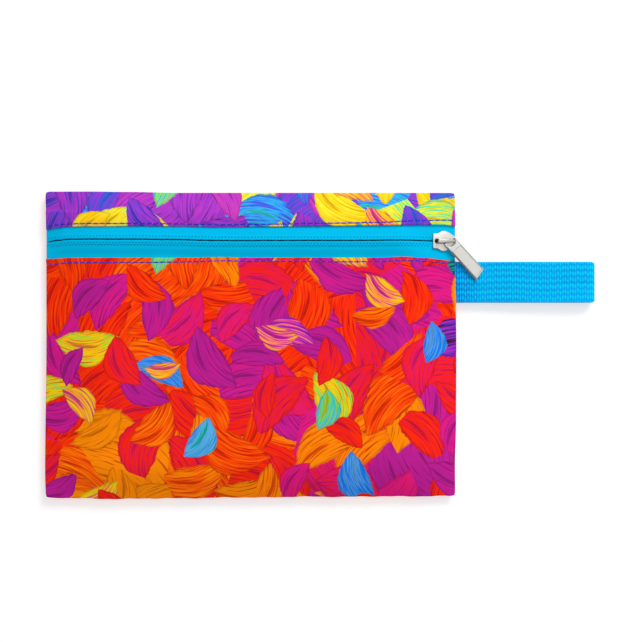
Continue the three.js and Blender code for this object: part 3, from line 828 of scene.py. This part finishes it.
add_slab(slider_builder, [
    (LOWER_PLATE["left"], -LOWER_PLATE["half"]), (LOWER_PLATE["right"], -LOWER_PLATE["half"]),
    (LOWER_PLATE["right"], LOWER_PLATE["half"]), (LOWER_PLATE["left"], LOWER_PLATE["half"]),
], LOWER_PLATE["thick"], ROUND_EDGE, Matrix.Translation((0, 0, LOWER_PLATE["top"] - LOWER_PLATE["thick"])))
post_middle = (POST["left"] + POST["right"]) / 2
post_foot = LOWER_PLATE["top"] - POST["into_plates"]
add_slab(slider_builder, [
    (POST["left"], 0), (post_middle, -POST["half"]), (POST["right"], -POST["half"]),
    (POST["right"], POST["half"]), (post_middle, POST["half"]),
], SLIDER_GAP + POST["into_plates"] - post_foot, POST["rounding"], Matrix.Translation((0, 0, post_foot)))

# The bail's side view, with corners rounded in two steps, is raised to its width and then narrowed
plate_top = SLIDER_GAP + PLATE
bar_under = plate_top + 2 * PULL_CLEAR
bar_top = bar_under + BAIL["bar"]
leg_inner = BAIL["right"] - BAIL["leg"]
bail_foot = plate_top - BAIL["into_plate"]
under_corner = bar_top - BAIL["corner"]
bail_side = [
    (BAIL["left"], bail_foot), (BAIL["window"], bail_foot), (BAIL["window"], bar_under - 0.7),
    (BAIL["window"] + 0.25, bar_under - 0.2), (BAIL["window"] + 0.8, bar_under), (leg_inner, bar_under),
    (leg_inner, bail_foot), (BAIL["right"], bail_foot), (BAIL["right"], under_corner),
    (BAIL["right"] - 0.2, bar_top - 0.2), (BAIL["right"] - BAIL["corner"], bar_top),
] + curve_points(
    (BAIL["left"] + 1.6, bar_top), (BAIL["left"] + BAIL["corner"], bar_top),
    (BAIL["left"], under_corner), (BAIL["left"], plate_top + 0.6),
)
bail_builder = bmesh.new()
bail_place = Matrix.Translation((0, BAIL["half"], 0)) @ Matrix.Rotation(math.pi / 2, 4, "X")
add_slab(bail_builder, bail_side, 2 * BAIL["half"], ROUND_EDGE, bail_place)
for vertex in bail_builder.verts:
    sloping = BAIL_SIDES["top"] + BAIL_SIDES["slope"] * (bar_top - vertex.co.z)
    vertex.co.y *= float(eased(BAIL_NARROWS, vertex.co.x)) * sloping
bail_builder.normal_update()
# Painted shade: the bail's upright wall over the hollow gets the near-black nickel
for face in bail_builder.faces:
    at_end = face.normal.x < -0.75 and face.calc_center_median().x < BAIL["left"] + 1
    face.material_index = slider_nickel_lit_and_shaded.index(dull_nickel_painted_shade if at_end else nickel)
bail_mesh = bpy.data.meshes.new("bail")
bail_builder.to_mesh(bail_mesh)
bail_builder.free()
slider_builder.from_mesh(bail_mesh)
bpy.data.meshes.remove(bail_mesh)

slider_place = Matrix.Translation(Vector(SLIDER_AT) * MM) @ Matrix.Rotation(SLIDER_TILT, 4, "Y")
slider_place = slider_place @ Matrix.Scale(MM, 4)
bmesh.ops.transform(slider_builder, matrix=slider_place, verts=slider_builder.verts)
slider = new_piece("slider", slider_builder, slider_nickel_lit_and_shaded)
slider.data.set_sharp_from_angle(angle=math.radians(40))
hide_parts("zip_slider")

# Pull
# Flat die-cast tag in the same satin nickel, with a bare sunk face. A bar closes its eye round the
# slider's bail, so that it lies over the side seam with its tip on the strap, and lifts about that bar.
PULL = {"length": 28.0, "half": 4.15, "thick": 1.4, "bar_half": 0.6, "corner": 0.6, "skew": 1.1}
EYE = {"to": 3.6, "half": 3.2, "corner": 2.3, "bar_corner": 0.5}
FACE = {"from": 6.4, "to": 27.0, "rim": 0.2, "sunk": 0.3}
PULL_BAR_AT = 3.25
PULL_YAW = math.radians(-47.5)
PULL_PITCH = math.radians(-5.4)
PULL_SHIFT = 0.15
# How far the sides and the end slope in from the underside to the top, at mm along the tag
PULL_DRAFT = [(0, 0.1), (3.6, 0.3), (6.4, 0.65)]
PULL_END_DRAFT = 0.45
PULL_ROUND_EDGE = 0.16
PULL_RIM_ANGLE = 1.08
NEAR = 0.1  # within this distance a point counts as on a line

columns = [-PULL["bar_half"], PULL["bar_half"], EYE["to"], FACE["from"], FACE["to"], PULL["length"]]
rows = [-PULL["half"], -EYE["half"], EYE["half"], PULL["half"]]
pull_builder = bmesh.new()
bmesh.ops.create_grid(pull_builder, x_segments=len(columns) - 1, y_segments=len(rows) - 1, size=1)
for index, vertex in enumerate(pull_builder.verts):
    row, column = divmod(index, len(columns))
    skewed = PULL["skew"] * rows[row] / PULL["half"] if columns[column] >= FACE["to"] else 0
    vertex.co = (columns[column] - skewed, rows[row], -PULL["thick"] / 2)
eye_faces = [
    face for face in pull_builder.faces
    if PULL["bar_half"] < face.calc_center_median().x < EYE["to"]
    and abs(face.calc_center_median().y) < EYE["half"] / 2
]
bmesh.ops.delete(pull_builder, geom=eye_faces, context="FACES")
raise_faces(pull_builder, pull_builder.faces, PULL["thick"])
bmesh.ops.recalc_face_normals(pull_builder, faces=list(pull_builder.faces))
for corner, wanted in [
    (PULL["corner"], lambda x, y: abs(y) > EYE["half"] + NEAR and (x < 0 or x > FACE["to"] + NEAR)),
    (EYE["corner"], lambda x, y: abs(y) < EYE["half"] + NEAR and abs(x - EYE["to"]) < NEAR),
    (EYE["bar_corner"], lambda x, y: abs(y) < EYE["half"] + NEAR and abs(x - PULL["bar_half"]) < NEAR),
]:
    round_off(pull_builder, upright_edges(pull_builder, wanted), corner, 5)
sunk_face = max(
    (face for face in pull_builder.faces if face.normal.z > 0.9),
    key=lambda face: face.calc_area(),
)
bmesh.ops.inset_region(
    pull_builder, faces=[sunk_face], thickness=FACE["rim"], depth=-FACE["sunk"], use_even_offset=True,
)
for vertex in pull_builder.verts:
    if vertex.co.z > PULL["thick"] / 2 - NEAR / 2:
        sideways = (abs(vertex.co.y) - EYE["half"]) / (PULL["half"] - PULL["corner"] - EYE["half"])
        sideways = min(max(sideways, 0), 1)
        endways = max(vertex.co.x - FACE["to"], 0) / (PULL["length"] - FACE["to"])
        vertex.co.y -= math.copysign(sideways, vertex.co.y) * float(eased(PULL_DRAFT, vertex.co.x))
        vertex.co.x -= endways * PULL_END_DRAFT
rims = [edge for edge in pull_builder.edges if edge.calc_face_angle(0) > PULL_RIM_ANGLE]
round_off(pull_builder, rims, PULL_ROUND_EDGE, 2)
# Roundings that meet in a corner leave points on top of each other there
bmesh.ops.remove_doubles(pull_builder, verts=list(pull_builder.verts), dist=0.01)
bmesh.ops.dissolve_degenerate(pull_builder, edges=list(pull_builder.edges), dist=0.005)
pull_place = slider_place @ Matrix.Translation((PULL_BAR_AT, 0, plate_top + PULL_CLEAR))
pull_place = pull_place @ Matrix.Rotation(PULL_YAW, 4, "Z") @ Matrix.Translation((0, PULL_SHIFT, 0))
pull_place = pull_place @ Matrix.Rotation(PULL_PITCH, 4, "Y")
bmesh.ops.transform(pull_builder, matrix=pull_place, verts=pull_builder.verts)
pull = new_piece("pull", pull_builder, [nickel], body="pull")
pull.data.set_sharp_from_angle(angle=math.radians(18))
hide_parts("zip_pull")

# Wrist strap
# One length of 25 mm polyester webbing folded into a flat loop, both ends caught in the right side
# seam. Its weave shows as ribs across it, each of which swells into a row of short knots of thread.
STRAP_DOWN = 41.95
STRAP_WIDTH = 25.1
STRAP_THICK = 1.1
RIB_PITCH = 1.52
RIB_HIGH = 0.2
RIB_FLOOR = 0.2  # height between two ribs, as a share of a rib
RIB_MIDDLE = 0.6  # share of a rib that lies inside the strap's plain thickness
RIB_STEPS = 5  # mesh rows for each rib
KNOT_PITCH = 3.6
KNOT_FLOOR = 0.45  # height between two knots, as a share of a knot
KNOT_STAGGER = 0.13  # share of the knots' pitch in each of two waves that offset them
KNOT_WAVES = (2.3, 0.21)  # radians of those waves from rib to rib
FACE_STEPS = 39  # mesh columns over one face
EDGE_HIGH = 0.5  # how high the weave counts at the strap's edges
SCALLOP = {"out": 0.12, "in": 0.1}  # how far the ribs stand out at the strap's edges, and draw in
FOLD_NARROWS = {"share": 0.055, "reach": 1.7}  # the strap draws in where it is folded
# Painted shade near the seam: how much the knot height that sets the yarn's colour is lowered there, at mm
# from the strap's ends
SEAM_PAINTED_SHADE = [(7, 0.24), (13, 0.13), (24, 0)]
# Centre line out from the pouch's right border and above the table: out along the lower layer, round
# the fold, and back along the upper layer
STRAP_ROUTE = [
    (-7, 4.1), (1, 4.1), (10, 2.6), (22, 0.9), (40, 0.74), (62, 0.74), (77, 0.75), (82, 1.7), (84.7, 4.2),
    (82, 6.8), (76, 7.7), (62, 7.6), (40, 7), (22, 6), (8, 5.6), (0, 5.6), (-7, 5.6),
]


def smooth_route(points, per_span=40):
    """Close points on a centripetal curve through the points given."""
    route = np.array(points, float)
    route = np.vstack([2 * route[0] - route[1], route, 2 * route[-1] - route[-2]])
    shares = np.linspace(0, 1, per_span, endpoint=False)[:, None]
    spans = []
    for before, start, end, after in zip(route, route[1:], route[2:], route[3:]):
        gap_in, gap, gap_out = (
            math.sqrt(np.linalg.norm(b - a)) for a, b in ((before, start), (start, end), (end, after))
        )
        leave = (start - before) / gap_in - (end - before) / (gap_in + gap) + (end - start) / gap
        arrive = (end - start) / gap - (after - start) / (gap + gap_out) + (after - end) / gap_out
        leave, arrive = leave * gap, arrive * gap
        square = -3 * start + 3 * end - 2 * leave - arrive
        cube = 2 * start - 2 * end + leave + arrive
        spans.append(start + shares * leave + shares**2 * square + shares**3 * cube)
    return np.vstack([*spans, route[-2:-1]])


centre = smooth_route(STRAP_ROUTE)
lengths = np.concatenate([[0], np.cumsum(np.linalg.norm(np.diff(centre, axis=0), axis=1))])
strap_length = lengths[-1]
fold_along = lengths[np.argmax(centre[:, 0])]
strap_marks = np.linspace(0, strap_length, round(strap_length / RIB_PITCH * RIB_STEPS) + 1)
# Marks round the strap's section: over its upper face, round one edge, under it and round the other edge
flat_width = STRAP_WIDTH - STRAP_THICK
face_marks = np.linspace(0, flat_width, FACE_STEPS + 1)
edge_round = math.pi * STRAP_THICK / 2
edge_marks = np.linspace(0, edge_round, 6)[1:-1]
section_round = 2 * (flat_width + edge_round)
section_marks = np.concatenate([
    face_marks, flat_width + edge_marks,
    flat_width + edge_round + face_marks, 2 * flat_width + edge_round + edge_marks, [section_round],
])


def rib_height(along, width):
    """Ribs of the weave, low between them and 1 on their knots, at mm along and across one face."""
    rib = np.abs(np.cos(np.pi * along / RIB_PITCH))
    number = np.round(along / RIB_PITCH)
    offset = KNOT_STAGGER * sum(np.sin(wave * number) for wave in KNOT_WAVES)
    knot = 0.5 + 0.5 * np.cos(2 * np.pi * (width / KNOT_PITCH + offset))
    return (RIB_FLOOR + (1 - RIB_FLOOR) * rib) * (KNOT_FLOOR + (1 - KNOT_FLOOR) * knot)


def strap_section(round_it, along):
    """Place across and outwards on the strap's section, and how high the weave stands there."""
    half = flat_width / 2
    radius = STRAP_THICK / 2
    round_it = np.mod(round_it, section_round - 1e-6)
    run = np.mod(round_it, section_round / 2)
    side = np.where(round_it < section_round / 2, 1.0, -1.0)
    turn = np.clip((run - flat_width) / radius, 0, np.pi)
    on_face = run <= flat_width
    high = np.where(on_face, rib_height(along, np.clip(run, 0, flat_width)), EDGE_HIGH)
    scallop = 0.5 + 0.5 * np.cos(2 * np.pi * along / RIB_PITCH)
    edge = radius + SCALLOP["out"] * scallop - SCALLOP["in"]
    width = np.where(on_face, run - half, half + edge * np.sin(turn))
    out = np.where(on_face, radius + RIB_HIGH * (high - RIB_MIDDLE), radius * np.cos(turn))
    by_fold = np.exp(-(((along - fold_along) / FOLD_NARROWS["reach"]) ** 2))
    return side * width * (1 - FOLD_NARROWS["share"] * by_fold), side * out, high


def strap_shape(round_it, along):
    reach = 0.2

    def on_route(at):
        return np.array([np.interp(at, lengths, centre[:, 0]), np.interp(at, lengths, centre[:, 1])])

    x, z = on_route(along)
    run_x, run_z = on_route(along + reach) - on_route(along - reach)
    size = np.hypot(run_x, run_z)
    width, out, _ = strap_section(round_it, along)
    return MM * np.column_stack([
        LEFT + POUCH_WIDTH + x - run_z / size * out,
        TOP - STRAP_DOWN - STRAP_WIDTH / 2 + width,
        z + run_x / size * out,
    ])


strap_builder = cloth_grid(section_marks, strap_marks, strap_shape)
knots = strap_builder.verts.layers.float.new("knot")
across, down = (marks.ravel() for marks in np.meshgrid(section_marks, strap_marks[::-1]))
# Lowering the knot height near the seam paints shade there; it changes the colour only, not the strap's
# shape
seam_shade = eased(SEAM_PAINTED_SHADE, np.minimum(down, strap_length - down))
for vertex, high in zip(strap_builder.verts, strap_section(across, down)[2] - seam_shade):
    vertex[knots] = high
bmesh.ops.remove_doubles(strap_builder, verts=list(strap_builder.verts), dist=0.01 * MM)
open_ends = [edge for edge in strap_builder.edges if edge.is_boundary]
bmesh.ops.holes_fill(strap_builder, edges=open_ends)
bmesh.ops.recalc_face_normals(strap_builder, faces=list(strap_builder.faces))


def filament_webbing(name, shade_by_height_stops):
    """Webbing of shiny filament yarn, its colour set by the weave's height: painted highlight on the knots,
    painted shade in the hollows between them.
    """
    material, tree, shader = new_material(name)
    # The weave's height sets the colour, which paints shade into the hollows and a highlight on the knots
    knot_height = node(tree, "Attribute", {}, attribute_name="knot")["Fac"]
    yarn_shaded_by_height = node(tree, "ValToRGB", {"Fac": knot_height}, stops=shade_by_height_stops)[0]
    flat = node(tree, "UVMap", {}, uv_map="cloth")[0]
    # The warp yarns differ a little in depth of dye, which shows as faint streaks along the strap
    lengthwise = node(tree, "Mapping", {"Vector": flat, "Scale": (1 / (1.8 * MM), 1 / (150 * MM), 1)})[0]
    dye = node(tree, "TexNoise", {
        "Vector": lengthwise, "Scale": 1, "Detail": 2,
    }, noise_dimensions="2D")[0]
    depth = node(tree, "MapRange", {
        "Value": dye, "From Min": 0.3, "From Max": 0.7, "To Min": 0.88, "To Max": 1.08,
    })[0]
    dyed = node(tree, "VectorMath", {0: yarn_shaded_by_height, "Scale": depth}, operation="SCALE")[0]
    # Single filaments are far finer; bundles of them are drawn 0.4 mm apart so that they show
    bundle = 0.4 * MM
    filaments = node(tree, "TexNoise", {"Vector": flat, "Scale": 1 / bundle})[0]
    bump = node(tree, "Bump", {"Height": filaments, "Strength": 0.2, "Distance": 0.05 * MM})[0]
    set_inputs(tree, shader, {
        "Base Color": dyed, "Normal": bump, "Roughness": 0.55, "Specular IOR Level": 0.04,
    })
    return material


# Painted shade and highlight: dark stops for the low hollows, bright ones for the knots
webbing = filament_webbing("ribbed polyester webbing", [
    (0.05, "#006acc"), (0.3, "#009ae6"), (0.55, "#00b8f4"), (0.95, "#00d8ff"),
])
strap = new_piece("strap", strap_builder, [webbing])
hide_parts("wrist_strap")

# Seam tuck
# A scrap of the blue-green part of the print: the panels' seam allowance, caught in the seam on top of
# the strap, where it shows in the notch of the main panel.
TUCK = {"left": 239.2, "right": 249.9, "top": 41.0, "foot": 53.0, "height": 6.45, "thick": 0.3}
TUCK_RISE = [(244.5, 0), (248, 0.3)]  # towards the seam, at mm across
TUCK_CRUMPLE = 0.1
TUCK_SKEW = {"foot": 44, "share": 1 / 3}  # how its upper edge slants, down to where it ends
TEAL_GROUND = [(0.0, "#0a4a9a"), (0.3, "#0a86c0"), (0.5, "#16b0b4"), (0.75, "#22a888"), (1.0, "#0c4a86")]
tuck_waves = ripples(seed=17, shortest=2.5, longest=6)


def tuck_shape(across, down):
    from_right = (TUCK["right"] - across) / (TUCK["right"] - TUCK["left"])
    slant = TUCK_SKEW["share"] * np.maximum(TUCK_SKEW["foot"] - down, 0)
    height = TUCK["height"] + eased(TUCK_RISE, across) + TUCK_CRUMPLE * tuck_waves(across, down)
    return on_pouch(across, down + from_right * slant, height)


tuck = new_piece("seam_tuck", cloth_grid(
    np.linspace(TUCK["left"], TUCK["right"], 28), np.linspace(TUCK["top"], TUCK["foot"], 30), tuck_shape,
), [printed_polyester("printed polyester, blue-green", TEAL_GROUND, TEAL_GROUND)])
thicken(tuck, TUCK["thick"])

# Table, light and camera
# A pale matt table top that gives a little light of its own, a soft key light from the far right, a
# larger soft light overhead and a pale studio wall all round, and a camera straight above the pouch.
TABLE_HALF = 4  # metres
table_material, table_tree, table_shader = new_material("pale matt table top")
set_inputs(table_tree, table_shader, {
    "Base Color": linear("#c8c8c8"), "Roughness": 0.9,
    "Emission Color": linear("#ffffff"), "Emission Strength": 0.5,
})
table_builder = bmesh.new()
bmesh.ops.create_grid(table_builder, x_segments=1, y_segments=1, size=TABLE_HALF)
table_mesh = bpy.data.meshes.new("table")
table_builder.to_mesh(table_mesh)
table_builder.free()
table_mesh.materials.append(table_material)
table = bpy.data.objects.new("table", table_mesh)
bpy.context.scene.collection.objects.link(table)


def soft_light(name, place, size, power):
    """Square light in metres and watts, turned towards the pouch."""
    lamp = bpy.data.lights.new(name, "AREA")
    lamp.size = size
    lamp.energy = power
    light = bpy.data.objects.new(name, lamp)
    light.location = place
    light.rotation_euler = (-Vector(place)).to_track_quat("-Z", "Y").to_euler()
    bpy.context.scene.collection.objects.link(light)


soft_light("key", (0.75, 1.3, 1.2), 0.8, 25)
soft_light("overhead", (0.55, 0.1, 2.4), 2.2, 20)
world = bpy.data.worlds.new("studio")
world.use_nodes = True
# Paler low down, as a lit studio wall is, and dimmer overhead
upwards = node(world.node_tree, "TexCoord", {})["Generated"]
high_up = node(world.node_tree, "SeparateXYZ", {"Vector": upwards})["Z"]
wall_light = node(world.node_tree, "MapRange", {
    "Value": high_up, "From Max": 0.35, "To Min": 0.92, "To Max": 0.3,
}, interpolation_type="SMOOTHSTEP")[0]
set_inputs(world.node_tree, world.node_tree.nodes["Background"], {
    "Color": linear("#ffffff"), "Strength": wall_light,
})
bpy.context.scene.world = world
bpy.context.scene.view_settings.view_transform = "Standard"

PHOTO_SPAN = 391.6  # width of the photo's frame at the pouch
PHOTO_MIDDLE = (0.3, 14.6)  # under the middle of the photo
camera_data = bpy.data.cameras.new("camera")
camera_data.lens = 85
camera_data.sensor_width = 36
camera = bpy.data.objects.new("camera", camera_data)
camera_high = PHOTO_SPAN * camera_data.lens / camera_data.sensor_width + CROWN / 2
camera.location = (PHOTO_MIDDLE[0] * MM, PHOTO_MIDDLE[1] * MM, camera_high * MM)
bpy.context.scene.collection.objects.link(camera)
bpy.context.scene.camera = camera
